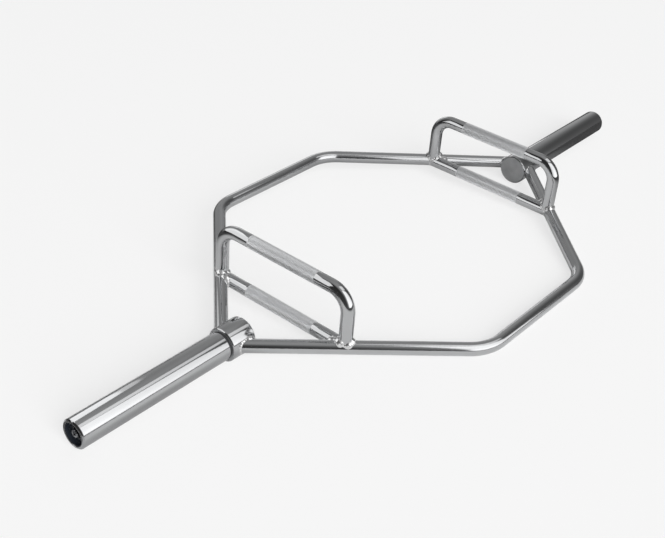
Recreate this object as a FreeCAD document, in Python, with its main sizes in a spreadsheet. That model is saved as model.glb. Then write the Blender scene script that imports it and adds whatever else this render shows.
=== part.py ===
import FreeCAD, Part
import math
import os
import re

import Sketcher
from FreeCAD import Placement, Rotation, Vector

# Hex trap bar, in millimetres. X runs along the sleeves, Y across the frame, Z up.
# The origin is under the middle of the bar, level with the lowest line of the collars.

SIZES = {
    # Frame bars: round bar bent to half a hexagon
    "bar_diameter": 24,
    "corner_reach": 153,
    "frame_half_width": 316,
    "bar_bend_radius": 80,
    # Stop collars, which the frame bars are welded to
    "collar_diameter": 60,
    "collar_land": 4,
    "collar_reach": 460,
    "collar_inner_chamfer": 2,
    "collar_outer_chamfer": 1.5,
    # Stub axles pressed into the collars
    "axle_diameter": 30,
    "axle_seat_depth": 38,
    "axle_chamfer": 1,
    # Plate sleeves that turn on the axles
    "sleeve_diameter": 50,
    "sleeve_bore": 40,
    "sleeve_reach": 760,
    "sleeve_tip_chamfer": 2.5,
    "sleeve_root_chamfer": 1,
    # Bushes in the sleeves, and the thrust washers between sleeve and collar
    "bush_length": 40,
    "bush_chamfer": 0.5,
    "running_clearance": 0.05,
    "end_float": 0.3,
    "thrust_washer_diameter": 45,
    "thrust_washer_thickness": 2.5,
    "washer_clearance": 0.2,
    # Keeper washers and socket head screws on the axle ends
    "keeper_diameter": 36,
    "keeper_thickness": 3,
    "screw_diameter": 8,
    "screw_length": 25,
    "screw_head_diameter": 13,
    "screw_head_height": 8,
    "screw_head_chamfer": 0.8,
    "socket_width": 6,
    "socket_depth": 4,
    "tapped_hole_spare": 4,
    # Plastic cups in the sleeve mouths
    "recess_depth": 8,
    "cap_floor": 2,
    "cap_wall": 1.6,
    "cap_inset": 1,
    "cap_hole": 17,
    "cap_clearance": 0.8,
    # Handles: round bar with knurled grips
    "handle_diameter": 24,
    "handle_reach": 317.5,
    "handle_rise": 102,
    "handle_bend_radius": 37,
    "leg_inset": 4.5,
    "grip_length": 150,
    "knurl_height": 0.3,
    # Weld beads, and the gap left for them where a handle meets a bar
    "root_gap": 0.2,
    "collar_weld_leg": 4,
    "handle_weld_leg": 3.5,
    "weld_side_share": 0.85,
}

# The bars run to the middle of the collars' outer faces, and each collar reaches past their feet
BAR_SLOPE = "(frame_half_width / (collar_reach - corner_reach))"
FOOT_LENGTH = f"((collar_diameter / {BAR_SLOPE} + bar_diameter * sqrt(1 + 1 / {BAR_SLOPE} ^ 2)) / 2)"

# Places along the sleeve axis, from the middle of the bar outwards
COLLAR_INNER = f"(collar_reach - {FOOT_LENGTH} - collar_land)"
AXLE_START = "(collar_reach - axle_seat_depth)"
SLEEVE_START = "(collar_reach + thrust_washer_thickness + end_float)"
CAP_OUTER = "(sleeve_reach - recess_depth)"
CAP_INNER = f"({CAP_OUTER} - cap_floor)"
KEEPER_OUTER = f"({CAP_INNER} - cap_clearance)"
AXLE_END = f"({KEEPER_OUTER} - keeper_thickness)"
OUTER_BUSH = f"({AXLE_END} - end_float - bush_length)"
SCREW_TIP = f"({KEEPER_OUTER} - screw_length)"
SCREW_TOP = f"({KEEPER_OUTER} + screw_head_height)"

# Places across the frame: where the bar passes the handles, and where the legs stand
BAR_LINE = f"((collar_reach - handle_reach) * {BAR_SLOPE})"
LEG_LINE = f"({BAR_LINE} - leg_inset)"
LEG_FOOT = "(bar_diameter / 4)"

doc = FreeCAD.newDocument("hex_trap_bar")
sheet = doc.addObject("Spreadsheet::Sheet", "Sizes")
for row, (name, number) in enumerate(SIZES.items(), start=1):
    sheet.set(f"A{row}", name)
    sheet.set(f"B{row}", str(number))
    sheet.setAlias(f"B{row}", name)
doc.recompute()


def bind(item, prop, text):
    """Drive a property by an expression written in the names of the sheet."""
    item.setExpression(prop, re.sub("[a-z_]+", lambda m: f"Sizes.{m[0]}" if m[0] in SIZES else m[0], text))


def length(text):
    """What such an expression comes to, with None for zero."""
    return float(sheet.evalExpression(text)) if text else 0.0


def new_body(label, turn):
    """A body on the sleeve axis; the left and front pieces are turned half round."""
    body = doc.addObject("PartDesign::Body", label)
    body.Label = label
    body.Placement = Placement(Vector(), Rotation(Vector(0, 0, 1), turn))
    bind(body, "Placement.Base.z", "collar_diameter / 2")
    return body


def plane(body, role):
    return (next(item for item in body.Origin.OriginFeatures if item.Role == role), [""])


def new_sketch(body, name, role, offset=None):
    sketch = body.newObject("Sketcher::SketchObject", name)
    sketch.AttachmentSupport = plane(body, role)
    sketch.MapMode = "FlatFace"
    if offset:
        bind(sketch, "AttachmentOffset.Base.z", offset)
    return sketch


def drive(sketch, kind, where, start, text):
    index = sketch.addConstraint(Sketcher.Constraint(kind, *where, start))
    bind(sketch, f"Constraints[{index}]", text)


def put_point(sketch, piece, end, across, up):
    """Fix a point of a sketch; None puts it on the axis."""
    now = sketch.getPoint(piece, end)
    for kind, axis, start, text in (("DistanceX", -2, now.x, across), ("DistanceY", -1, now.y, up)):
        if text is None:
            sketch.addConstraint(Sketcher.Constraint("PointOnObject", piece, end, axis))
        else:
            drive(sketch, kind, (-1, 1, piece, end), start, text)


def circle(body, name, role, across, up, diameter):
    sketch = new_sketch(body, name, role)
    middle = Vector(length(across), length(up), 0)
    ring = sketch.addGeometry(Part.Circle(middle, Vector(0, 0, 1), length(diameter) / 2))
    put_point(sketch, ring, 3, across, up)
    drive(sketch, "Diameter", (ring,), length(diameter), diameter)
    return sketch


def turned(label, turn, corners):
    """A piece turned about the sleeve axis; each corner is a place along it and a diameter there."""
    body = new_body(label, turn)
    sketch = new_sketch(body, f"{label}_outline", "XZ_Plane")
    corners = [(place, diameter and f"({diameter}) / 2") for place, diameter in corners]
    points = [Vector(length(place), length(radius), 0) for place, radius in corners]
    for start, end in zip(points, points[1:] + points[:1]):
        sketch.addGeometry(Part.LineSegment(start, end))
    for index, (place, radius) in enumerate(corners):
        sketch.addConstraint(Sketcher.Constraint("Coincident", (index - 1) % len(corners), 2, index, 1))
        put_point(sketch, index, 1, place, radius)
    doc.recompute()
    revolved = body.newObject("PartDesign::Revolution", f"{label}_turned")
    revolved.Profile = sketch
    revolved.ReferenceAxis = (sketch, ["H_Axis"])
    revolved.Angle = 360
    doc.recompute()
    return body


def ring(label, turn, near, far, inner, outer, chamfer=None):
    """A plain ring between two places on the sleeve axis, with its outer edges broken if asked."""
    if not chamfer:
        return turned(label, turn, [(near, inner), (near, outer), (far, outer), (far, inner)])
    small = f"{outer} - 2 * {chamfer}"
    return turned(label, turn, [(near, inner), (near, small), (f"{near} + {chamfer}", outer),
                                (f"{far} - {chamfer}", outer), (far, small), (far, inner)])


def bend(sketch, start, corner, end, radius):
    """Line, tangent arc and line along two legs that meet at a corner; returns the two lines."""
    back, ahead = (start - corner).normalize(), (end - corner).normalize()
    half_angle = back.getAngle(ahead) / 2
    reach = SIZES[radius] / math.tan(half_angle)
    middle = (back + ahead).normalize() * (SIZES[radius] / math.sin(half_angle) - SIZES[radius])
    first = sketch.addGeometry(Part.LineSegment(start, corner + back * reach))
    arc = sketch.addGeometry(Part.Arc(corner + back * reach, corner + middle, corner + ahead * reach))
    last = sketch.addGeometry(Part.LineSegment(corner + ahead * reach, end))
    joint = sketch.getPoint(first, 2)
    near = min((1, 2), key=lambda side: sketch.getPoint(arc, side).distanceToPoint(joint))
    sketch.addConstraint(Sketcher.Constraint("Tangent", first, 2, arc, near))
    sketch.addConstraint(Sketcher.Constraint("Tangent", last, 1, arc, 3 - near))
    sketch.addConstraint(Sketcher.Constraint("Horizontal", first))
    drive(sketch, "Radius", (arc,), SIZES[radius], radius)
    return first, last


def piped(body, name, profile, path, mirror):
    """Half a bent bar swept along its path, and its mirror image."""
    doc.recompute()
    pipe = body.newObject("PartDesign::AdditivePipe", f"{name}_half")
    pipe.Profile = profile
    pipe.Spine = path
    doc.recompute()
    whole = body.newObject("PartDesign::Mirrored", f"{name}_whole")
    whole.Originals = [pipe]
    whole.MirrorPlane = plane(body, mirror)
    body.Tip = whole
    doc.recompute()


def frame_bar(label, turn, diameter):
    """A bar from the middle of its long side, round the corner and on to the end of the collar."""
    body = new_body(label, turn)
    side, apex = SIZES["frame_half_width"], SIZES["collar_reach"]
    path = new_sketch(body, f"{label}_path", "XY_Plane")
    corner = Vector(SIZES["corner_reach"], side, 0)
    first, last = bend(path, Vector(0, side, 0), corner, Vector(apex, 0, 0), "bar_bend_radius")
    mark = path.addGeometry(Part.Point(corner), True)
    put_point(path, first, 1, None, "frame_half_width")
    put_point(path, last, 2, "collar_reach", None)
    put_point(path, mark, 1, "corner_reach", "frame_half_width")
    path.addConstraint(Sketcher.Constraint("PointOnObject", mark, 1, last))
    profile = circle(body, f"{label}_section", "YZ_Plane", "frame_half_width", None, diameter)
    piped(body, label, profile, path, "YZ_Plane")
    return body


def saddle(body, name, diameter):
    """Cope a frame bar's ends to the round of the collars."""
    cut = body.newObject("PartDesign::Pocket", f"{name}_saddle")
    cut.Profile = circle(body, f"{name}_saddle_round", "YZ_Plane", None, None, diameter)
    cut.Type = "ThroughAll"
    cut.SideType = "Symmetric"
    doc.recompute()


def grip(body, name, up):
    """The knurled stretch in the middle of a handle, proud of the bar by the height of the knurl."""
    pad = body.newObject("PartDesign::Pad", f"{name}_grip")
    pad.Profile = circle(body, f"{name}_grip_round", "XZ_Plane", "handle_reach", up,
                         "handle_diameter + 2 * knurl_height")
    pad.SideType = "Symmetric"
    bind(pad, "Length", "grip_length")
    doc.recompute()


def low_bar(label, turn):
    """Straight handle bar between the two frame bars, with square ends."""
    body = new_body(label, turn)
    pad = body.newObject("PartDesign::Pad", f"{label}_bar")
    pad.Profile = circle(body, f"{label}_round", "XZ_Plane", "handle_reach", None, "handle_diameter")
    pad.SideType = "Symmetric"
    bind(pad, "Length", f"2 * {BAR_LINE}")
    doc.recompute()
    grip(body, label, None)
    return body


def high_bar(label, turn):
    """Handle bar bent to an upside down U, with its legs down to the frame."""
    body = new_body(label, turn)
    rise, spread, foot = SIZES["handle_rise"], length(LEG_LINE), length(LEG_FOOT)
    path = new_sketch(body, f"{label}_path", "YZ_Plane", "handle_reach")
    first, last = bend(path, Vector(0, rise, 0), Vector(spread, rise, 0), Vector(spread, foot, 0),
                       "handle_bend_radius")
    put_point(path, first, 1, None, "handle_rise")
    path.addConstraint(Sketcher.Constraint("Vertical", last))
    put_point(path, last, 2, LEG_LINE, LEG_FOOT)
    profile = circle(body, f"{label}_section", "XZ_Plane", "handle_reach", "handle_rise", "handle_diameter")
    piped(body, label, profile, path, "XZ_Plane")
    grip(body, label, "handle_rise")
    return body


def rod(name, radius, height, rotation, base):
    """A plain round used to shape other pieces; base gives its lowest or first end."""
    item = doc.addObject("Part::Cylinder", name)
    item.Placement = Placement(Vector(), rotation)
    bind(item, "Radius", radius)
    bind(item, "Height", height)
    for axis, text in zip("xyz", base):
        bind(item, f"Placement.Base.{axis}", text)
    return item


def joined(name, items):
    group = doc.addObject("Part::MultiFuse", name)
    group.Shapes = items
    return group


def shared(label, base, tool):
    """What two shapes have in common."""
    item = doc.addObject("Part::Common", label)
    item.Base, item.Tool = base, tool
    return item


def trimmed(label, base, tools):
    """A shape cut by one tool after another."""
    for number, tool in enumerate(tools, start=1):
        item = doc.addObject("Part::Cut", label)
        item.Label = label if number == len(tools) else f"{label}_cut_{number}"
        item.Base, item.Tool = base, tool
        doc.recompute()
        base = item
    return base


def grouped(label, items):
    group = doc.addObject("Part::Compound", label)
    group.Label = label
    group.Links = items
    return group


def socket(body, name, top):
    """Hexagon socket sunk into the head of a screw."""
    sketch = new_sketch(body, f"{name}_hexagon", "YZ_Plane", top)
    reach = length("socket_width / sqrt(3)")
    angles = [math.radians(60 * index) for index in range(6)]
    corners = [Vector(reach * math.sin(angle), reach * math.cos(angle), 0) for angle in angles]
    for start, end in zip(corners, corners[1:] + corners[:1]):
        sketch.addGeometry(Part.LineSegment(start, end))
    round_guide = sketch.addGeometry(Part.Circle(Vector(), Vector(0, 0, 1), reach), True)
    for side in range(6):
        sketch.addConstraint(Sketcher.Constraint("Coincident", side, 2, (side + 1) % 6, 1))
        sketch.addConstraint(Sketcher.Constraint("PointOnObject", side, 1, round_guide))
    for side in range(1, 6):
        sketch.addConstraint(Sketcher.Constraint("Equal", 0, side))
    sketch.addConstraint(Sketcher.Constraint("PointOnObject", 0, 1, -2))
    put_point(sketch, round_guide, 3, None, None)
    drive(sketch, "Radius", (round_guide,), reach, "socket_width / sqrt(3)")
    doc.recompute()
    cut = body.newObject("PartDesign::Pocket", f"{name}_socket")
    cut.Profile = sketch
    bind(cut, "Length", "socket_depth")
    doc.recompute()


nodes = []

# Frame bars, and the same bars a little stouter to shape what is fitted and welded to them
bars, bar_copes, collar_zones, handle_zones = [], [], [], []
for side, turn in (("front", 180), ("rear", 0)):
    bar = frame_bar(f"frame_bar_{side}", turn, "bar_diameter")
    saddle(bar, f"frame_bar_{side}", "collar_diameter")
    bars.append(bar)
    bar_copes.append(frame_bar(f"bar_cope_{side}", turn, "bar_diameter + 2 * root_gap"))
    collar_zones.append(frame_bar(f"collar_weld_zone_{side}", turn, "bar_diameter + 2 * collar_weld_leg"))
    handle_zones.append(frame_bar(f"handle_weld_zone_{side}", turn, "bar_diameter + 2 * handle_weld_leg"))
nodes += bars

for side, turn, sign in (("left", 180, "-"), ("right", 0, "")):
    out = Rotation(Vector(0, 1, 0), -90 if sign else 90)
    across = Rotation(Vector(1, 0, 0), -90)
    level = "collar_diameter / 2"

    # Collar with a blind bore, and the axle pressed into it
    nodes.append(turned(f"collar_{side}", turn, [
        (COLLAR_INNER, None),
        (COLLAR_INNER, "collar_diameter - 2 * collar_inner_chamfer"),
        (f"{COLLAR_INNER} + collar_inner_chamfer", "collar_diameter"),
        ("collar_reach - collar_outer_chamfer", "collar_diameter"),
        ("collar_reach", "collar_diameter - 2 * collar_outer_chamfer"),
        ("collar_reach", "axle_diameter"),
        (AXLE_START, "axle_diameter"),
        (AXLE_START, None)]))
    nodes.append(turned(f"axle_{side}", turn, [
        (AXLE_START, None),
        (AXLE_START, "axle_diameter - 2 * axle_chamfer"),
        (f"{AXLE_START} + axle_chamfer", "axle_diameter"),
        (f"{AXLE_END} - axle_chamfer", "axle_diameter"),
        (AXLE_END, "axle_diameter - 2 * axle_chamfer"),
        (AXLE_END, "screw_diameter"),
        (f"{SCREW_TIP} - tapped_hole_spare", "screw_diameter"),
        (f"{SCREW_TIP} - tapped_hole_spare", None)]))

    # Thrust washer on the axle, between the collar and the sleeve
    nodes.append(ring(f"thrust_washer_{side}", turn,
                      "collar_reach", "collar_reach + thrust_washer_thickness",
                      "axle_diameter + 2 * washer_clearance", "thrust_washer_diameter"))

    # Sleeve, its two bushes and the cup in its mouth
    nodes.append(turned(f"sleeve_{side}", turn, [
        (SLEEVE_START, "sleeve_bore"),
        (SLEEVE_START, "sleeve_diameter - 2 * sleeve_root_chamfer"),
        (f"{SLEEVE_START} + sleeve_root_chamfer", "sleeve_diameter"),
        ("sleeve_reach - sleeve_tip_chamfer", "sleeve_diameter"),
        ("sleeve_reach", "sleeve_diameter - 2 * sleeve_tip_chamfer"),
        ("sleeve_reach", "sleeve_bore")]))
    for name, near in (("inner_bush", SLEEVE_START), ("outer_bush", OUTER_BUSH)):
        nodes.append(ring(f"{name}_{side}", turn, near, f"{near} + bush_length",
                          "axle_diameter + 2 * running_clearance", "sleeve_bore", "bush_chamfer"))
    nodes.append(turned(f"end_cap_{side}", turn, [
        (CAP_INNER, "cap_hole"),
        (CAP_INNER, "sleeve_bore"),
        ("sleeve_reach - cap_inset", "sleeve_bore"),
        ("sleeve_reach - cap_inset", "sleeve_bore - 2 * cap_wall"),
        (CAP_OUTER, "sleeve_bore - 2 * cap_wall"),
        (CAP_OUTER, "cap_hole")]))

    # Keeper washer and the screw that holds it on the end of the axle
    nodes.append(ring(f"keeper_washer_{side}", turn, AXLE_END, KEEPER_OUTER,
                      "screw_diameter + 2 * washer_clearance", "keeper_diameter"))
    screw = turned(f"end_screw_{side}", turn, [
        (SCREW_TIP, None),
        (SCREW_TIP, "screw_diameter"),
        (KEEPER_OUTER, "screw_diameter"),
        (KEEPER_OUTER, "screw_head_diameter"),
        (f"{SCREW_TOP} - screw_head_chamfer", "screw_head_diameter"),
        (SCREW_TOP, "screw_head_diameter - 2 * screw_head_chamfer"),
        (SCREW_TOP, None)])
    socket(screw, f"end_screw_{side}", SCREW_TOP)
    nodes.append(screw)

    # Handles, coped to the frame bars and, under the legs, to each other
    reach = f"{sign}handle_reach"
    low_round = ("handle_diameter / 2", f"2 * {BAR_LINE}", across, (reach, f"-{BAR_LINE}", level))
    low_cope = rod(f"low_cope_{side}", f"{low_round[0]} + 2 * root_gap", *low_round[1:])
    nodes.append(trimmed(f"low_handle_{side}", low_bar(f"low_bar_{side}", turn), bar_copes))
    high = trimmed(f"high_handle_{side}", high_bar(f"high_bar_{side}", turn), [*bar_copes, low_cope])
    nodes.append(high)

    # Weld beads: what lies close to both pieces of a joint, outside of both
    core = rod(f"collar_core_{side}", "collar_diameter / 2", f"collar_reach - {COLLAR_INNER}", out,
               (f"{sign}{COLLAR_INNER}", "0", level))
    zone_start = f"({COLLAR_INNER} + collar_inner_chamfer)"
    zone = rod(f"collar_zone_{side}", "collar_diameter / 2 + collar_weld_leg * weld_side_share",
               f"collar_reach - collar_outer_chamfer - {zone_start}", out,
               (f"{sign}{zone_start}", "0", level))
    beads = []
    for where, bar, bar_zone in zip(("front", "rear"), bars, collar_zones):
        near_both = shared(f"collar_bead_zone_{where}_{side}", bar_zone, zone)
        beads.append(trimmed(f"collar_bead_{where}_{side}", near_both, [bar, core]))
    nodes.append(grouped(f"collar_welds_{side}", beads))

    low_zone = rod(f"low_zone_{side}", f"{low_round[0]} + handle_weld_leg * weld_side_share",
                   *low_round[1:])
    beads = []
    for where, way, bar_zone, bar_cope in zip(("front", "rear"), ("-", ""), handle_zones, bar_copes):
        leg_zone = rod(f"leg_zone_{where}_{side}", "handle_diameter / 2 + handle_weld_leg",
                       "bar_diameter / 2 + handle_weld_leg", Rotation(),
                       (reach, f"{way}{LEG_LINE}", f"{level} + {LEG_FOOT}"))
        foot = joined(f"foot_zone_{where}_{side}", [low_zone, leg_zone])
        near_both = shared(f"foot_bead_zone_{where}_{side}", foot, bar_zone)
        beads.append(trimmed(f"foot_bead_{where}_{side}", near_both, [bar_cope, low_cope, high]))
    nodes.append(grouped(f"handle_welds_{side}", beads))

doc.recompute()
for item in doc.Objects:
    if "Invalid" in item.State or "Error" in item.State:
        raise RuntimeError(f"{item.Label} did not build: {item.State}")
for node in nodes:
    if node.Shape.isNull() or not node.Shape.isValid():
        raise RuntimeError(f"{node.Label} has no sound shape")

os.makedirs("parts", exist_ok=True)
for node in nodes:
    node.Shape.exportStep(f"parts/{node.Label}.step")
    print(f"{node.Label}: {len(node.Shape.Solids)} solids, {node.Shape.Volume / 1000:.2f} cm3")
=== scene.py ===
import bpy
import math
import random
from mathutils import Matrix, Quaternion, Vector


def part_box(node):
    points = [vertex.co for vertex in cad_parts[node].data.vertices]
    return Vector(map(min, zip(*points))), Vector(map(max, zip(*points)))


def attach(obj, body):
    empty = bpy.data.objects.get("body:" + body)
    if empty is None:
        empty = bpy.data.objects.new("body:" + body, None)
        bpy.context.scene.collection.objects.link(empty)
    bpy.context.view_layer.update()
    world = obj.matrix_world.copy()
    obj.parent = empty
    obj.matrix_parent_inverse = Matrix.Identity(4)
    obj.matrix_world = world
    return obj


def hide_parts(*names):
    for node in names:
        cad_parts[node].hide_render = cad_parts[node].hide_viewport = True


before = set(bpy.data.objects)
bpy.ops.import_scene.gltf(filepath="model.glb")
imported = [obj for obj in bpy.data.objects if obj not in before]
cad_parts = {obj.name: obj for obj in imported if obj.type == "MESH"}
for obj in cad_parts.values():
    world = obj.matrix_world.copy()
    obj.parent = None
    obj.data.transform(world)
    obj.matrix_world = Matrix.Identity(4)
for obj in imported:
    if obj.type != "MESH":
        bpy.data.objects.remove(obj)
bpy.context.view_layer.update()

# Frame bars
# Two lengths of round steel bar, each bent at two corners to half of the hexagon and coped to the
# collars at both ends. The bar is drawn, so faint streaks run along it under the chrome.
BAR_RADIUS = 0.012
BAR_BEND_RADIUS = 0.080
CORNER_REACH = 0.153
BAR_SIDES = 72
BAR_STEP = 0.015
BEND_STEPS = 24
COPE_SIDES = 128
SMOOTH_ANGLE = math.radians(35)
MERGE_DISTANCE = 1e-6
AXIS_X, AXIS_Y, AXIS_Z = Matrix.Identity(3)
PLATE_DARK_CAST = (1.0, 1.01, 1.03)
PLATE_PALE_CAST = (1.0, 1.01, 1.02)
PLATE_SPECK_SCALE = 900.0
PLATE_SPECK_LIMIT = 0.78
PLATE_RELIEF_SHARES = (0.8, 0.2)


class Shade:
    """A socket in a tree of shader nodes. Arithmetic on it adds Math nodes, and a | b is the greater."""

    def __init__(self, tree, socket=None):
        self.tree, self.socket = tree, socket

    def node(self, kind, settings=None, sockets=None, output=0):
        """Adds a node, with its settings set first and then the values or links of its sockets."""
        made = self.tree.nodes.new(f"ShaderNode{kind}")
        for name, value in (settings or {}).items():
            setattr(made, name, value)
        for name, value in (sockets or {}).items():
            if isinstance(value, Shade):
                self.tree.links.new(value.socket, made.inputs[name])
            else:
                made.inputs[name].default_value = value
        return Shade(self.tree, made.outputs[output] if made.outputs else None)

    def __add__(self, other):
        return self.node("Math", {"operation": "ADD"}, {0: self, 1: other})

    def __mul__(self, other):
        return self.node("Math", {"operation": "MULTIPLY"}, {0: self, 1: other})

    def __gt__(self, other):
        return self.node("Math", {"operation": "GREATER_THAN"}, {0: self, 1: other})

    def __or__(self, other):
        return self.node("Math", {"operation": "MAXIMUM"}, {0: self, 1: other})

    __radd__, __rmul__, __ror__ = __add__, __mul__, __or__


def new_material(name):
    material = bpy.data.materials.new(name)
    material.use_nodes = True
    material.node_tree.nodes.clear()
    return material, Shade(material.node_tree)


def noise(place, scale, detail):
    return place.node("TexNoise", sockets={"Vector": place, "Scale": scale, "Detail": detail})


def streaked(place, grain, detail):
    """Noise that is stretched or packed along each axis by its own share of the grain."""
    return noise(place.node("Mapping", sockets={"Vector": place, "Scale": grain}), 1.0, detail)


def tinted(share, dark, pale):
    return share.node("Mix", {"data_type": "RGBA"}, {0: share, 6: dark, 7: pale}, output=2)


def finished(material, tint, roughness, metal, relief, depth):
    """Gives a material its colour, its gloss and a fine relief."""
    bump = relief.node("Bump", sockets={"Strength": 1.0, "Distance": depth, "Height": relief})
    surface = relief.node("BsdfPrincipled", sockets={
        "Base Color": tint, "Metallic": metal, "Roughness": roughness, "Normal": bump})
    relief.node("OutputMaterial", sockets={"Surface": surface})
    return material


def chrome(name, grain, grain_depth, gloss, haze=0.03, tones=(0.53, 0.6), cloud_scale=18.0, metal=1.0):
    """Bright plate on steel; grain scales the streaks that the drawing or turning left in the metal."""
    material, shade = new_material(name)
    place = shade.node("TexCoord", output="Object")
    streaks = streaked(place, grain, detail=4.0)
    clouds = noise(place, cloud_scale, detail=5.0)
    specks = noise(place, PLATE_SPECK_SCALE, detail=1.0)
    dark, pale = ([tone * share for share in cast] + [1]
                  for tone, cast in zip(tones, (PLATE_DARK_CAST, PLATE_PALE_CAST)))
    roughness = gloss + haze * streaks + haze * clouds + (specks > PLATE_SPECK_LIMIT) * haze
    relief = streaks * PLATE_RELIEF_SHARES[0] + clouds * PLATE_RELIEF_SHARES[1]
    return finished(material, tinted(clouds, dark, pale), roughness, metal, relief, grain_depth)


def reach_of(node):
    """Where a node starts and ends along the sleeve axis."""
    return [corner.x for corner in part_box(node)]


def radius_of(node):
    """The radius of a round node on the sleeve axis."""
    low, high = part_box(node)
    return round((high.z - low.z) / 2, 4)


def start_piece(name, add_primitive, **settings):
    """A primitive by itself, selected all over in edit mode, with its place in its mesh."""
    bpy.ops.object.select_all(action="DESELECT")
    add_primitive(**settings)
    piece = bpy.context.object
    piece.name = piece.data.name = name
    bpy.ops.object.transform_apply()
    bpy.ops.object.mode_set(mode="EDIT")
    return piece


def along(heading):
    """The turn that lays a primitive's own axis along a heading."""
    return heading.to_track_quat("Z", "Y").to_euler()


def ring_of_bar(name, middle, heading, radius, sides):
    """The open round that a bar is drawn out from."""
    return start_piece(name, bpy.ops.mesh.primitive_circle_add, vertices=sides, radius=radius,
                       location=middle, rotation=along(heading))


def draw_out(run, step=BAR_STEP):
    """Extrudes the selected round along a straight run, in even steps."""
    count = math.ceil(round(run.length / step, 3))
    for _ in range(count):
        bpy.ops.mesh.extrude_region_move(TRANSFORM_OT_translate={"value": run / count})


def bend(pivot, axis, angle):
    """Spins the selected round about a pivot; a positive angle is a right handed turn about the axis."""
    bpy.ops.mesh.spin(steps=BEND_STEPS, angle=-angle, center=pivot, axis=axis)


def apply_modifier(piece, kind, **settings):
    bpy.context.view_layer.objects.active = piece
    modifier = piece.modifiers.new(kind.lower(), kind)
    for name, value in settings.items():
        setattr(modifier, name, value)
    bpy.ops.object.modifier_apply(modifier=modifier.name)


def close_mesh():
    """Merges doubles, turns the faces outwards and leaves edit mode."""
    bpy.ops.mesh.select_all(action="SELECT")
    bpy.ops.mesh.remove_doubles(threshold=MERGE_DISTANCE)
    bpy.ops.mesh.normals_make_consistent(inside=False)
    bpy.ops.object.mode_set(mode="OBJECT")


def round_cutter(middle, heading, radius, length):
    """A plain round that a bar's end is coped to."""
    cutter = start_piece("cope", bpy.ops.mesh.primitive_cylinder_add, vertices=COPE_SIDES, radius=radius,
                         depth=length, location=middle, rotation=along(heading))
    bpy.ops.object.mode_set(mode="OBJECT")
    return cutter


def cope(piece, cutter):
    """Cuts a piece to the skin of another round, which is used up."""
    apply_modifier(piece, "BOOLEAN", operation="DIFFERENCE", object=cutter)
    bpy.data.objects.remove(cutter)


def half_turned(piece, name):
    """A copy with its own mesh, half a turn round the middle of the bar."""
    copy = piece.copy()
    copy.data = piece.data.copy()
    copy.name = copy.data.name = name
    copy.data.transform(Matrix.Rotation(math.pi, 4, "Z"))
    bpy.context.collection.objects.link(copy)
    return copy


def place_piece(piece, finishes, node, body="frame", angle=SMOOTH_ANGLE):
    """Gives a finished mesh its finishes and its shading, and sets it in the place of its node."""
    bpy.ops.object.select_all(action="DESELECT")
    piece.select_set(True)
    bpy.context.view_layer.objects.active = piece
    bpy.ops.object.shade_smooth_by_angle(angle=angle)
    for finish in finishes:
        piece.data.materials.append(finish)
    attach(piece, body)
    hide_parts(node)


collar_inner, collar_reach = reach_of("collar_right")
collar_radius = axis_height = radius_of("collar_right")
frame_half_width = round(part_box("frame_bar_rear")[1].y, 4) - BAR_RADIUS
bar_turn = math.atan2(frame_half_width, collar_reach - CORNER_REACH)
bar_heading = Vector((math.cos(bar_turn), -math.sin(bar_turn), 0))
corner_trim = BAR_BEND_RADIUS * math.tan(bar_turn / 2)
long_run = Vector((CORNER_REACH - corner_trim, 0, 0))
bend_pivot = long_run + Vector((0, frame_half_width - BAR_BEND_RADIUS, axis_height))
slant_length = Vector((collar_reach - CORNER_REACH, frame_half_width)).length - corner_trim

bar_rear = ring_of_bar("bar_rear", (0, frame_half_width, axis_height), AXIS_X, BAR_RADIUS, BAR_SIDES)
draw_out(long_run)
bend(bend_pivot, AXIS_Z, -bar_turn)
draw_out(bar_heading * (slant_length - collar_radius))
bpy.ops.mesh.edge_face_add()
close_mesh()
apply_modifier(bar_rear, "MIRROR", use_axis=(True, False, False), merge_threshold=MERGE_DISTANCE)
cope(bar_rear, round_cutter((0, 0, axis_height), AXIS_X, collar_radius, 2 * collar_reach))
bar_front = half_turned(bar_rear, "bar_front")
bar_chrome = chrome("bar_chrome", grain=(10, 10, 1100), grain_depth=0.00002, gloss=0.08)
for piece, node in ((bar_rear, "frame_bar_rear"), (bar_front, "frame_bar_front")):
    place_piece(piece, [bar_chrome], node)

# Stop collars
# Short rounds of turned steel that the bars are welded to, with broken edges and a blind bore for the
# axle. The end faces keep their tool marks, and the outer one is the shoulder that the plates stop at.
TURN_STEPS = 128
EDGE_SEGMENTS = 3
COLLAR_INNER_CHAMFER = 0.002
COLLAR_OUTER_CHAMFER = 0.0015
COLLAR_EDGE_ROUND = 0.0004
END_FACE_LEAN = 0.9


def turned(name, outline, edge_round):
    """A lathe piece: an outline of places along the sleeve axis and radii there, spun about that axis."""
    points = [Vector((place, 0, axis_height + radius)) for place, radius in outline]
    piece = start_piece(name, bpy.ops.mesh.primitive_plane_add, location=points[0])
    bpy.ops.mesh.merge(type="CENTER")
    for here, there in zip(points, points[1:]):
        bpy.ops.mesh.extrude_vertices_move(TRANSFORM_OT_translate={"value": there - here})
    bpy.ops.mesh.select_all(action="SELECT")
    bpy.ops.mesh.remove_doubles(threshold=MERGE_DISTANCE)
    bpy.ops.mesh.spin(steps=TURN_STEPS, angle=2 * math.pi, center=(0, 0, axis_height), axis=AXIS_X)
    close_mesh()
    apply_modifier(piece, "BEVEL", width=edge_round, segments=EDGE_SEGMENTS, limit_method="ANGLE",
                   angle_limit=SMOOTH_ANGLE)
    return piece


def place_pair(right, name, finishes, node, body="frame", angle=SMOOTH_ANGLE):
    """Sets a piece of the right side and its half turned copy in the places of their two nodes."""
    left = half_turned(right, f"{name}_left")
    for piece, side in ((right, "right"), (left, "left")):
        place_piece(piece, finishes, f"{node}_{side}", body.format(side=side), angle)


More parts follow.
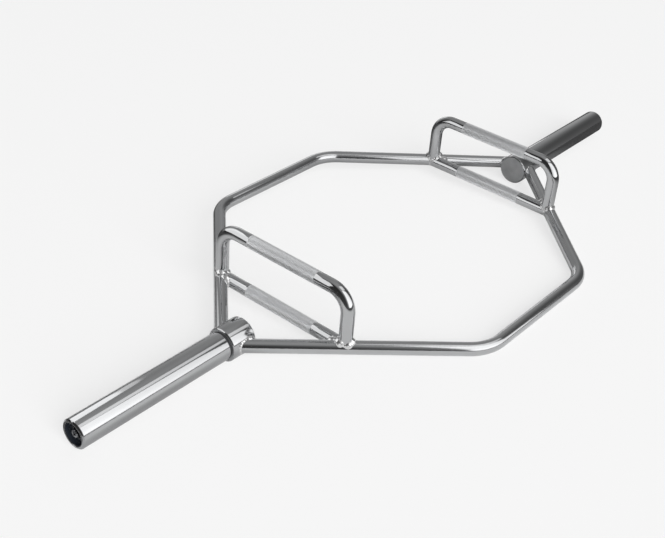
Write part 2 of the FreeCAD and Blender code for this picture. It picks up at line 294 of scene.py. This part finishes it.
axle_start = reach_of("axle_right")[0]
axle_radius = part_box("axle_right")[1].y
collar_right = turned("stop_collar_right", [
    (collar_inner, 0),
    (collar_inner, collar_radius - COLLAR_INNER_CHAMFER),
    (collar_inner + COLLAR_INNER_CHAMFER, collar_radius),
    (collar_reach - COLLAR_OUTER_CHAMFER, collar_radius),
    (collar_reach, collar_radius - COLLAR_OUTER_CHAMFER),
    (collar_reach, axle_radius),
    (axle_start, axle_radius),
    (axle_start, 0)], COLLAR_EDGE_ROUND)
for face in collar_right.data.polygons:
    from_end = min(face.center.x - collar_inner, collar_reach - face.center.x)
    face.material_index = int(abs(face.normal.x) > END_FACE_LEAN and from_end < COLLAR_EDGE_ROUND)
collar_chrome = chrome("collar_chrome", grain=(1500, 12, 12), grain_depth=0.00001, gloss=0.06)
faced_steel = chrome("faced_steel", grain=(60, 260, 260), grain_depth=0.0001, gloss=0.24, haze=0.12,
                     tones=(0.42, 0.7), cloud_scale=70.0)
place_pair(collar_right, "stop_collar", [collar_chrome, faced_steel], "collar")

# Low handles
# Straight grips between the frame bars, in the plane of the frame, coped to the bars at both ends.
# The middle of each is rolled to a diamond knurl, which stands a little proud of the plain bar.
HANDLE_RADIUS = 0.012
HANDLE_SIDES = 88
GRIP_HALF_LENGTH = 0.075
KNURL_ROUND = 44
KNURL_ROWS = 31
KNURL_ROOT = 0.0119
KNURL_CREST = 0.0123
KNURL_RUN_OUT = 0.0005
ROW_SLACK_SHARE = 0.1
HANDLE_SMOOTH_ANGLE = math.radians(15)
COPE_LENGTH = 0.2
MESH_LISTS = {"VERT": "vertices", "EDGE": "edges", "FACE": "polygons"}

handle_reach = round(sum(reach_of("low_handle_right")) / 2, 4)
bar_slope = math.tan(bar_turn)
bar_line = (collar_reach - handle_reach) * bar_slope
knurl_row = GRIP_HALF_LENGTH / KNURL_ROWS
plain_start = GRIP_HALF_LENGTH + KNURL_RUN_OUT


def select_where(piece, kind, chosen):
    """Selects the points, edges or faces of a mesh that pass a test, in edit mode."""
    bpy.ops.object.mode_set(mode="EDIT")
    bpy.ops.mesh.select_mode(type=kind)
    bpy.ops.mesh.select_all(action="DESELECT")
    bpy.ops.object.mode_set(mode="OBJECT")
    for part in getattr(piece.data, MESH_LISTS[kind]):
        part.select = chosen(part)
    bpy.ops.object.mode_set(mode="EDIT")


def start_handle(name, height):
    """Half of a handle, from its middle to the end of its grip: a grid of rows with a point in each
    cell, then the round of the plain bar, which is left selected."""
    piece = ring_of_bar(name, (handle_reach, 0, height), AXIS_Y, KNURL_ROOT, KNURL_ROUND)
    draw_out(Vector((0, GRIP_HALF_LENGTH, 0)), knurl_row)
    bpy.ops.mesh.select_all(action="SELECT")
    bpy.ops.mesh.normals_make_consistent(inside=False)
    bpy.ops.mesh.poke(offset=KNURL_ROOT * (1 - math.cos(math.pi / KNURL_ROUND)))
    bpy.ops.mesh.primitive_circle_add(vertices=HANDLE_SIDES, radius=HANDLE_RADIUS,
                                      location=(handle_reach, plain_start, height),
                                      rotation=(math.pi / 2, 0, 0))
    select_where(piece, "VERT", lambda point: point.co.y > GRIP_HALF_LENGTH - MERGE_DISTANCE)
    bpy.ops.mesh.bridge_edge_loops()
    select_where(piece, "VERT", lambda point: point.co.y > plain_start - MERGE_DISTANCE)
    return piece


def mirror_handle(piece):
    """Closes the end of half a handle and mirrors it to the whole one."""
    bpy.ops.mesh.edge_face_add()
    bpy.ops.object.mode_set(mode="OBJECT")
    apply_modifier(piece, "MIRROR", use_axis=(False, True, False), merge_threshold=MERGE_DISTANCE)
    bpy.ops.object.mode_set(mode="EDIT")
    close_mesh()


def cut_knurl(piece):
    """Turns the rows of the grip to diamonds and raises each to a point."""
    points = piece.data.vertices

    def on_row(point):
        row = point.co.y / knurl_row
        return abs(row - round(row)) < ROW_SLACK_SHARE and abs(row) < KNURL_ROWS + ROW_SLACK_SHARE

    def along_row(edge):
        first, last = (points[index] for index in edge.vertices)
        at_end = min(abs(first.co.y), abs(last.co.y)) > GRIP_HALF_LENGTH - MERGE_DISTANCE
        return on_row(first) and on_row(last) and not at_end

    select_where(piece, "EDGE", along_row)
    bpy.ops.mesh.dissolve_edges(use_verts=False)
    select_where(piece, "FACE", lambda face: (face.loop_total == 4
                                              and abs(face.center.y) < GRIP_HALF_LENGTH - knurl_row / 4))
    bpy.ops.mesh.poke(offset=KNURL_CREST - KNURL_ROOT)
    bpy.ops.mesh.select_mode(type="VERT")
    bpy.ops.object.mode_set(mode="OBJECT")
    for face in piece.data.polygons:
        face.material_index = int(abs(face.center.y) < GRIP_HALF_LENGTH)


def slant_bars():
    """The slanting stretches of the two bars where the handles meet them."""
    cutter = round_cutter((handle_reach, bar_line, axis_height), bar_heading, BAR_RADIUS, COPE_LENGTH)
    apply_modifier(cutter, "MIRROR", use_axis=(False, True, False))
    return cutter


low_grip_right = start_handle("low_grip_right", axis_height)
draw_out(Vector((0, bar_line - plain_start, 0)))
mirror_handle(low_grip_right)
cut_knurl(low_grip_right)
cope(low_grip_right, slant_bars())
handle_chrome = chrome("handle_chrome", grain=(1100, 10, 10), grain_depth=0.00001, gloss=0.04)
knurl_chrome = chrome("knurl_chrome", grain=(700, 700, 700), grain_depth=0.00003, gloss=0.24, haze=0.08,
                      tones=(0.76, 1.0), cloud_scale=420.0, metal=0.9)
place_pair(low_grip_right, "low_grip", [handle_chrome, knurl_chrome], "low_handle",
           angle=HANDLE_SMOOTH_ANGLE)

# High handles
# The same bar bent to an inverted U whose legs stand on the joints of the low handles and the frame
# bars. Its top is knurled as the low grip is, and its feet are coped to the bars under them.
HANDLE_BEND_RADIUS = 0.037

grip_height = round(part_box("high_handle_right")[1].z, 4) - KNURL_CREST
leg_line = round(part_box("high_handle_right")[1].y, 4) - HANDLE_RADIUS
leg_foot = round(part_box("high_handle_right")[0].z, 4)
leg_bend = Vector((handle_reach, leg_line - HANDLE_BEND_RADIUS, grip_height - HANDLE_BEND_RADIUS))
high_grip_right = start_handle("high_grip_right", grip_height)
draw_out(Vector((0, leg_bend.y - plain_start, 0)))
bend(leg_bend, AXIS_X, -math.pi / 2)
draw_out(Vector((0, 0, leg_foot - leg_bend.z)))
mirror_handle(high_grip_right)
cut_knurl(high_grip_right)
cope(high_grip_right, slant_bars())
cope(high_grip_right, round_cutter((handle_reach, 0, axis_height), AXIS_Y, HANDLE_RADIUS, 2 * bar_line))
place_pair(high_grip_right, "high_grip", [handle_chrome, knurl_chrome], "high_handle",
           angle=HANDLE_SMOOTH_ANGLE)

# Weld beads
# Hand laid beads of weld metal at every joint of the frame, plated over with the rest. Each is a run
# of uneven droplets that melted together, thick in a corner and thin where two skins run together.
SEAM_SAMPLES = 360
BEAD_STEP = 0.0036
BEAD_SINK = 0.004
COLLAR_BEAD_PROUD = (0.0012, 0.0027)
HANDLE_BEAD_PROUD = (0.0009, 0.0048)
COLLAR_BEAD_SHARES = {1: 1.2, -1: 0.7}
HANDLE_BEAD_SHARES = {1: 1.0, -1: 1.0}
TACKS = 4
TACK_SHARE = 0.35
BEAD_SWELL_SHARES = (0.7, 1.25)
BEAD_WANDER = 0.0005
BEAD_VOXEL = 0.0007
DROPLET_CUTS = 2
MELT_SHARE = 0.5
MELT_ROUNDS = 6
RIPPLE_SCALE = 180.0
RIPPLE_DEPTH = 0.0003
PIT_SCALE = 700.0
PIT_SHARE = 0.08
BEAD_DARK = (0.6, 0.6, 0.605, 1)
BEAD_PALE = (0.9, 0.9, 0.9, 1)
BEAD_GLOSS = 0.04
BEAD_HAZE = 0.16
BEAD_PLATE = 0.9

bar_side = Vector((math.sin(bar_turn), math.cos(bar_turn), 0))
apex = Vector((collar_reach, 0, axis_height))
slant_point = Vector((handle_reach, bar_line, axis_height))
low_point = Vector((handle_reach, 0, axis_height))


def skin(place, point, heading):
    """Which way the skin of a round bar faces at a place; the bar runs through a point along a heading."""
    away = place - point
    return (away - heading * away.dot(heading)).normalized()


def collar_seam(turn):
    """A place where a frame bar meets the collar, a turn round the bar from its outer side, and the
    way that both skins face there."""
    lift = BAR_RADIUS * math.sin(turn)
    side = BAR_RADIUS * math.cos(turn)
    run = (math.sqrt(collar_radius ** 2 - lift ** 2) - side * bar_side.y) / math.sin(bar_turn)
    place = apex - bar_heading * run + bar_side * side + AXIS_Z * lift
    return place, skin(place, apex, bar_heading), skin(place, apex, AXIS_X)


def leg_seam(turn):
    """The same where a leg of the high handle stands on the bar and the low handle."""
    across = HANDLE_RADIUS * math.cos(turn)
    out = leg_line + HANDLE_RADIUS * math.sin(turn)
    from_bar = abs((bar_line - bar_slope * across - out) * math.cos(bar_turn))
    nearest = min(from_bar, abs(across), BAR_RADIUS)
    place = Vector((handle_reach + across, out,
                    max(leg_foot, axis_height + math.sqrt(BAR_RADIUS ** 2 - nearest ** 2))))
    under = (slant_point, bar_heading) if from_bar < abs(across) else (low_point, AXIS_Y)
    return place, skin(place, Vector((handle_reach, leg_line, 0)), AXIS_Z), skin(place, *under)


def low_seam(turn):
    """The same where the low handle butts against the bar."""
    across = HANDLE_RADIUS * math.cos(turn)
    out = bar_line - bar_slope * across - abs(across) / math.cos(bar_turn)
    place = Vector((handle_reach + across, out, axis_height + HANDLE_RADIUS * math.sin(turn)))
    return place, skin(place, low_point, AXIS_Y), skin(place, slant_point, bar_heading)


def droplets(seam, proud, chance):
    """Middles and radii of droplets at an even step along a closed seam, sunk into both pieces. They
    stand proudest at the tacks."""
    drops, run, before = [], 0, seam(0)[0]
    for turn in (2 * math.pi * index / SEAM_SAMPLES for index in range(SEAM_SAMPLES)):
        place, first, last = seam(turn)
        run += (place - before).length
        before = place
        if run > BEAD_STEP:
            corner = min(1 - first.dot(last), 1) ** 2
            height = (proud[0] + (proud[1] - proud[0]) * corner) * (1 - TACK_SHARE * math.cos(TACKS * turn))
            wander = Vector([chance.uniform(-BEAD_WANDER, BEAD_WANDER) for _ in range(3)])
            drops.append((place - (first + last).normalized() * BEAD_SINK + wander,
                          BEAD_SINK + height * chance.uniform(*BEAD_SWELL_SHARES)))
            run = 0
    return drops


def weld_bead(name, seams, proud, side_shares, seed):
    """Melts droplets along the seams of the right end into one mesh. The side shares say how heavy
    the beads are towards the rear, 1, and towards the front, -1."""
    chance = random.Random(seed)
    drops = []
    for seam in seams:
        for way, heft in side_shares.items():
            for middle, radius in droplets(seam, [height * heft for height in proud], chance):
                drops.append((Vector((middle.x, way * middle.y, middle.z)), radius))
    piece = start_piece(name, bpy.ops.mesh.primitive_ico_sphere_add, subdivisions=DROPLET_CUTS,
                        location=drops[0][0], radius=drops[0][1])
    for middle, radius in drops[1:]:
        bpy.ops.mesh.primitive_ico_sphere_add(subdivisions=DROPLET_CUTS, location=middle, radius=radius)
    bpy.ops.object.mode_set(mode="OBJECT")
    apply_modifier(piece, "REMESH", mode="VOXEL", voxel_size=BEAD_VOXEL)
    apply_modifier(piece, "SMOOTH", factor=MELT_SHARE, iterations=MELT_ROUNDS)
    return piece


def weld_metal(name):
    """Bright plate over rough weld metal, with ripples, pits and a darker colour in the hollows of the
    ripples.
    """
    material, shade = new_material(name)
    place = shade.node("TexCoord", output="Object")
    ripple = noise(place, RIPPLE_SCALE, detail=3.0)
    pits = shade.node("TexVoronoi", sockets={"Vector": place, "Scale": PIT_SCALE})
    return finished(material, tinted(ripple, BEAD_DARK, BEAD_PALE), BEAD_GLOSS + ripple * BEAD_HAZE,
                    BEAD_PLATE, ripple + pits * PIT_SHARE, RIPPLE_DEPTH)


bead_metal = weld_metal("bead_metal")
collar_bead_right = weld_bead("collar_bead_right", [collar_seam], COLLAR_BEAD_PROUD,
                              COLLAR_BEAD_SHARES, seed=3)
handle_bead_right = weld_bead("handle_bead_right", [leg_seam, low_seam], HANDLE_BEAD_PROUD,
                              HANDLE_BEAD_SHARES, seed=4)
place_pair(collar_bead_right, "collar_bead", [bead_metal], "collar_welds")
place_pair(handle_bead_right, "handle_bead", [bead_metal], "handle_welds")

# Axles, keeper washers, bushes and thrust washers
# The running gear inside the sleeves: ground axles pressed into the collars, blacked keeper washers,
# sintered bronze bushes, and the black nylon rings that show as a dark line beside the collars.
TURNED_GRAIN = (2500, 30, 30)
TOOL_MARK_DEPTH = 0.00002
OILY_CLOUD_SCALE = 120.0
OILY_HAZE = 0.1
BLACK_GRAIN_SCALE = 1600.0
BLACK_GRAIN_DEPTH = 0.00004
BLACK_CLOUD_SCALE = 90.0
BLACK_HAZE = 0.15


def machined(name, dark, pale, grain, gloss):
    """A turned or ground metal: rings of tool marks and a cloudy, oily skin."""
    material, shade = new_material(name)
    place = shade.node("TexCoord", output="Object")
    marks = streaked(place, grain, detail=3.0)
    clouds = noise(place, OILY_CLOUD_SCALE, detail=4.0)
    roughness = gloss + marks * OILY_HAZE + clouds * OILY_HAZE
    return finished(material, tinted(clouds, dark, pale), roughness, 1.0, marks, TOOL_MARK_DEPTH)


def black_skin(name, dark, pale, gloss):
    """Black plastic or blacked steel: a fine even grain, with cloudy gloss."""
    material, shade = new_material(name)
    place = shade.node("TexCoord", output="Object")
    grain = noise(place, BLACK_GRAIN_SCALE, detail=2.0)
    clouds = noise(place, BLACK_CLOUD_SCALE, detail=4.0)
    roughness = gloss + clouds * BLACK_HAZE
    return finished(material, tinted(clouds, dark, pale), roughness, 0.0, grain, BLACK_GRAIN_DEPTH)


node_finishes = {
    "axle": machined("ground_steel", (0.42, 0.42, 0.43, 1), (0.5, 0.5, 0.51, 1), TURNED_GRAIN, gloss=0.14),
    "keeper_washer": black_skin("black_oxide", (0.025, 0.026, 0.028, 1), (0.04, 0.041, 0.044, 1), gloss=0.3),
    "inner_bush": machined("bush_bronze", (0.42, 0.24, 0.1, 1), (0.55, 0.34, 0.15, 1), TURNED_GRAIN,
                           gloss=0.25),
    "thrust_washer": black_skin("black_nylon", (0.035, 0.035, 0.037, 1), (0.05, 0.05, 0.052, 1), gloss=0.3),
}
node_finishes["outer_bush"] = node_finishes["inner_bush"]
for node, finish in node_finishes.items():
    for side in ("left", "right"):
        node_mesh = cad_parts[f"{node}_{side}"].data
        node_mesh.materials.clear()
        node_mesh.materials.append(finish)

# Sleeves
# Plate loading sleeves of polished steel tube that turn on the bushes, with broken edges and a wider
# chamfer at the mouth that guides a plate on.
SLEEVE_ROOT_CHAMFER = 0.001
SLEEVE_TIP_CHAMFER = 0.0025
SLEEVE_EDGE_ROUND = 0.0005
SLEEVE_BODY = "{side}_sleeve_assembly"

sleeve_start, sleeve_end = reach_of("sleeve_right")
sleeve_radius = radius_of("sleeve_right")
bore_radius = radius_of("outer_bush_right")
sleeve_right = turned("plate_sleeve_right", [
    (sleeve_start, bore_radius),
    (sleeve_start, sleeve_radius - SLEEVE_ROOT_CHAMFER),
    (sleeve_start + SLEEVE_ROOT_CHAMFER, sleeve_radius),
    (sleeve_end - SLEEVE_TIP_CHAMFER, sleeve_radius),
    (sleeve_end, sleeve_radius - SLEEVE_TIP_CHAMFER),
    (sleeve_end, bore_radius),
    (sleeve_start, bore_radius)], SLEEVE_EDGE_ROUND)
sleeve_chrome = chrome("sleeve_chrome", grain=(900, 10, 10), grain_depth=0.000006, gloss=0.07)
place_pair(sleeve_right, "plate_sleeve", [sleeve_chrome], "sleeve", SLEEVE_BODY)

# End caps
# Black moulded cups pressed into the sleeve mouths. Each is a thin wall and a floor, which has a hole
# for the screw head.
CAP_WALL = 0.0016
CAP_FLOOR = 0.002
CAP_HOLE_RADIUS = 0.0085
CAP_EDGE_ROUND = 0.0005

cap_start, cap_end = reach_of("end_cap_right")
cap_radius = radius_of("end_cap_right")
cap_right = turned("mouth_cup_right", [
    (cap_start, CAP_HOLE_RADIUS),
    (cap_start, cap_radius),
    (cap_end, cap_radius),
    (cap_end, cap_radius - CAP_WALL),
    (cap_start + CAP_FLOOR, cap_radius - CAP_WALL),
    (cap_start + CAP_FLOOR, CAP_HOLE_RADIUS),
    (cap_start, CAP_HOLE_RADIUS)], CAP_EDGE_ROUND)
cup_plastic = black_skin("cup_plastic", (0.009, 0.011, 0.014, 1), (0.016, 0.019, 0.025, 1), gloss=0.12)
place_pair(cap_right, "mouth_cup", [cup_plastic], "end_cap", SLEEVE_BODY)

# End screws
# Zinc plated socket head screws that hold the keeper washers to the axles. The head has a broken
# edge and a hexagon socket, and the shank is screwed into the axle's end.
SHANK_RADIUS = 0.004
HEAD_CHAMFER = 0.0008
HEAD_EDGE_ROUND = 0.0002
SOCKET_SIDES = 6
SOCKET_WIDTH = 0.006
SOCKET_DEPTH = 0.004
HEAD_GRAIN = (40, 700, 700)

shank_end, head_end = reach_of("end_screw_right")
head_start = reach_of("keeper_washer_right")[1]
head_radius = radius_of("end_screw_right")
screw_right = turned("cap_screw_right", [
    (shank_end, 0),
    (shank_end, SHANK_RADIUS),
    (head_start, SHANK_RADIUS),
    (head_start, head_radius),
    (head_end - HEAD_CHAMFER, head_radius),
    (head_end, head_radius - HEAD_CHAMFER),
    (head_end, 0)], HEAD_EDGE_ROUND)
socket = start_piece("socket", bpy.ops.mesh.primitive_cylinder_add, vertices=SOCKET_SIDES,
                     radius=SOCKET_WIDTH / math.sqrt(3), depth=2 * SOCKET_DEPTH,
                     location=(head_end, 0, axis_height), rotation=(0, math.pi / 2, 0))
bpy.ops.object.mode_set(mode="OBJECT")
cope(screw_right, socket)
screw_zinc = machined("screw_zinc", (0.42, 0.43, 0.45, 1), (0.56, 0.57, 0.59, 1), HEAD_GRAIN, gloss=0.18)
place_pair(screw_right, "cap_screw", [screw_zinc], "end_screw")

# Floor, light and camera
# A pale floor that the collars and the front bar lie on, with a dark card of painted shade that only the
# chrome mirrors, soft panels in a grey studio that is darker on three sides, and the camera off the left
# end.
FLOOR_SIZE = 14
FLOOR_CUTS = 4
SEEN_FLOOR = (0.25, 0.71)
MIRRORED_FLOOR = (0.85, 0.02)
PAPER_COLOUR = (0.6, 0.6, 0.6, 1)
# The painted shade card: its colour, the clear window beyond which it paints falloff, and two painted
# shadows, under the near sleeve and at its mouth.
PAINTED_SHADE_COLOUR = (0.02, 0.02, 0.02, 1)
CARD_LIFT = 0.002
PAINTED_FALLOFF_WINDOW = ((-0.24, -0.12, 0), (0.8, 0.6, 1))
SLEEVE_PAINTED_SHADOW = ((-0.6, -0.02, 0), (0.34, 0.09, 1))
MOUTH_PAINTED_SHADOW = ((-0.82, 0.04, 0), (0.06, 0.09, 1))
SEEN_STUDIO = 0.913
UNDER_SIDE = (-0.153, 0.582, -0.799)
FAR_END_SIDE = (0.894, -0.342, 0.288)
NEAR_END_SIDE = (-0.988, 0.145, -0.045)
CAMERA_PLACE = Vector((-1.46976, -0.99953, 1.13523))
CAMERA_AIM = Vector((-0.15959, 0.01964, 0.03))
CAMERA_ROLL = math.radians(4.742)
CAMERA_LENS = 59.734

floor_tilt = math.asin((collar_radius - BAR_RADIUS) / frame_half_width)
floor_level = axis_height - collar_radius / math.cos(floor_tilt)


def floor_sheet(name, level, paper):
    """A sheet of paper that lies on the floor's slope at a level."""
    sheet = start_piece(name, bpy.ops.mesh.primitive_plane_add, size=FLOOR_SIZE, location=(0, 0, level),
                        rotation=(-floor_tilt, 0, 0))
    bpy.ops.mesh.subdivide(number_cuts=FLOOR_CUTS)
    bpy.ops.object.mode_set(mode="OBJECT")
    sheet.data.materials.append(paper)
    return sheet


def lit_paper(shade, colour, glow):
    """Paper that is part lit by the panels and part bright of its own."""
    paper = shade.node("BsdfDiffuse", sockets={"Color": (colour, colour, colour, 1)})
    bright = shade.node("Emission", sockets={"Strength": glow})
    return shade.node("AddShader", sockets={0: paper, 1: bright})


floor_paper, shade = new_material("floor_paper")
seen = shade.node("LightPath", output="Is Camera Ray")
mirrored = (shade.node("LightPath", output="Is Glossy Ray")
            | shade.node("LightPath", output="Is Transmission Ray"))
plain_paper = shade.node("BsdfDiffuse", sockets={"Color": PAPER_COLOUR})
shown = shade.node("MixShader", sockets={
    0: mirrored, 1: plain_paper, 2: lit_paper(shade, *MIRRORED_FLOOR)})
shown = shade.node("MixShader", sockets={0: seen, 1: shown, 2: lit_paper(shade, *SEEN_FLOOR)})
shade.node("OutputMaterial", sockets={"Surface": shown})
floor_sheet("floor", floor_level, floor_paper)


def graded(value, start, end, low, high):
    """A smooth change from low to high as the value goes from start to end."""
    return value.node("MapRange", {"interpolation_type": "SMOOTHSTEP"}, {
        "Value": value, "From Min": start, "From Max": end, "To Min": low, "To Max": high})


def steps_from(place, middle, size):
    """How many sizes a place is from a middle."""
    steps = place.node("Mapping", {"vector_type": "TEXTURE"}, {
        "Vector": place, "Location": middle, "Scale": size})
    return steps.node("VectorMath", {"operation": "LENGTH"}, {0: steps}, output="Value")


# The card is painted shade on the floor that the chrome mirrors. It darkens the floor beyond a window round
# the middle, as falloff, and paints the shadows of the near sleeve and of its mouth.
painted_shade_card, shade = new_material("painted_shade_card")
place = shade.node("TexCoord", output="Object")
painted_shade = (graded(steps_from(place, *PAINTED_FALLOFF_WINDOW), start=0.5, end=1.2, low=0.0, high=0.9)
         | graded(steps_from(place, *SLEEVE_PAINTED_SHADOW), start=0.2, end=1.0, low=0.42, high=0.0)
         | graded(steps_from(place, *MOUTH_PAINTED_SHADOW), start=0.6, end=1.0, low=0.9, high=0.0))
clear = shade.node("BsdfTransparent")
black = shade.node("BsdfDiffuse", sockets={"Color": PAINTED_SHADE_COLOUR})
shown = shade.node("MixShader", sockets={0: painted_shade, 1: clear, 2: black})
shade.node("OutputMaterial", sockets={"Surface": shown})
card = floor_sheet("painted_shade_sheet", floor_level + CARD_LIFT, painted_shade_card)
card.visible_camera = card.visible_diffuse = card.visible_shadow = False

world = bpy.data.worlds.new("studio")
bpy.context.scene.world = world
world.use_nodes = True
world.node_tree.nodes.clear()
shade = Shade(world.node_tree)
heading = shade.node("TexCoord", output="Generated")


def dark_side(direction, start, end, low):
    """A share of the studio's light that falls to low towards a direction."""
    toward = heading.node("VectorMath", {"operation": "DOT_PRODUCT"}, {0: heading, 1: direction},
                          output="Value")
    return graded(toward, start, end, 1.0, low)


up = shade.node("SeparateXYZ", sockets={"Vector": heading}, output="Z")
studio = (graded(up, start=0.0, end=0.77, low=0.96, high=0.47)
          * dark_side(UNDER_SIDE, start=-1.84, end=1.84, low=0.0)
          * dark_side(FAR_END_SIDE, start=0.64, end=1.0, low=0.2)
          * dark_side(NEAR_END_SIDE, start=0.1, end=0.52, low=0.11))
tone = studio | shade.node("LightPath", output="Is Camera Ray") * SEEN_STUDIO
shade.node("OutputWorld", sockets={"Surface": shade.node("Background", sockets={"Color": tone})})


def soft_panel(name, place, facing, size, glow):
    """A soft light panel that the camera doesn't see. It faces a compass bearing at a tip, both in
    degrees, and glow is how bright it looks."""
    lamp = bpy.data.lights.new(name, "AREA")
    lamp.shape = "RECTANGLE"
    lamp.size, lamp.size_y = size
    lamp.energy = glow * math.pi * size[0] * size[1]
    panel = bpy.data.objects.new(name, lamp)
    panel.location = place
    compass, tip = (math.radians(angle) for angle in facing)
    ahead = Vector((math.sin(compass) * math.cos(tip), math.cos(compass) * math.cos(tip), math.sin(tip)))
    panel.rotation_euler = ahead.to_track_quat("-Z", "Y").to_euler()
    panel.visible_camera = False
    bpy.context.collection.objects.link(panel)
    return panel


mirrored_panels = [
    soft_panel("front_panel", (0.235, -0.976, 0.91), facing=(12.0, -2.9), size=(1.54, 1.54), glow=1.14),
    soft_panel("side_panel", (-0.654, 0.429, 0.5), facing=(150.4, -18.5), size=(0.845, 0.62), glow=1.15),
    soft_panel("side_panel_end", (-0.226, 0.672, 0.5), facing=(150.4, -18.5), size=(0.14, 0.62), glow=0.5),
    soft_panel("top_panel", (1.1, -0.81, 2.78), facing=(0.0, -73.5), size=(2.6, 0.95), glow=0.72),
    soft_panel("back_panel", (3.19, 2.86, 0.24), facing=(154.4, -18.8), size=(5.0, 1.46), glow=0.65),
]
for panel in mirrored_panels:
    panel.visible_diffuse = False
key_panel = soft_panel("key_panel", (-11.4, -23.85, 14.1), facing=(25.5, -28.0), size=(21.0, 21.0),
                       glow=10.0)
key_panel.visible_glossy = False

view = bpy.data.cameras.new("view")
view.lens = CAMERA_LENS
camera = bpy.data.objects.new("view", view)
camera.location = CAMERA_PLACE
camera.rotation_mode = "QUATERNION"
camera.rotation_quaternion = ((CAMERA_AIM - CAMERA_PLACE).to_track_quat("-Z", "Y")
                              @ Quaternion((0, 0, 1), CAMERA_ROLL))
bpy.context.collection.objects.link(camera)
bpy.context.scene.camera = camera
bpy.context.scene.view_settings.view_transform = "Standard"
